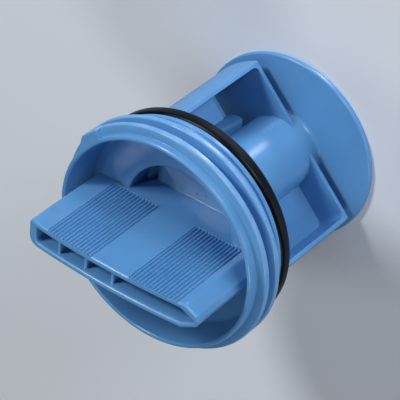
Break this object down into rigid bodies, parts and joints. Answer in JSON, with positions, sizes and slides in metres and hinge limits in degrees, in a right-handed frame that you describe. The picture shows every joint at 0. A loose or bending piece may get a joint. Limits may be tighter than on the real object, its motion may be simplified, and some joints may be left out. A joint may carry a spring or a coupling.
{
  "type": "washer pump filter",
  "caption": "Screw-in drain pump filter for a washing machine: threaded cup with a finger blade, rubber seal, slotted U frame, tube and a rear disc.",
  "frame": {"origin": "centre of the rear disc's back face", "axes": "+Z along the axis from the rear disc to the blade, X along the blade's width, Y through the blade's thickness"},
  "size_m": [0.0592, 0.0592, 0.0706],
  "materials": {
    "blue_plastic": "satin moulded plastic",
    "black_rubber": "smooth rubber"
  },
  "bodies": {
    "root": {"filter_body": "blue_plastic", "seal_ring": "black_rubber"}
  },
  "joints": []
}
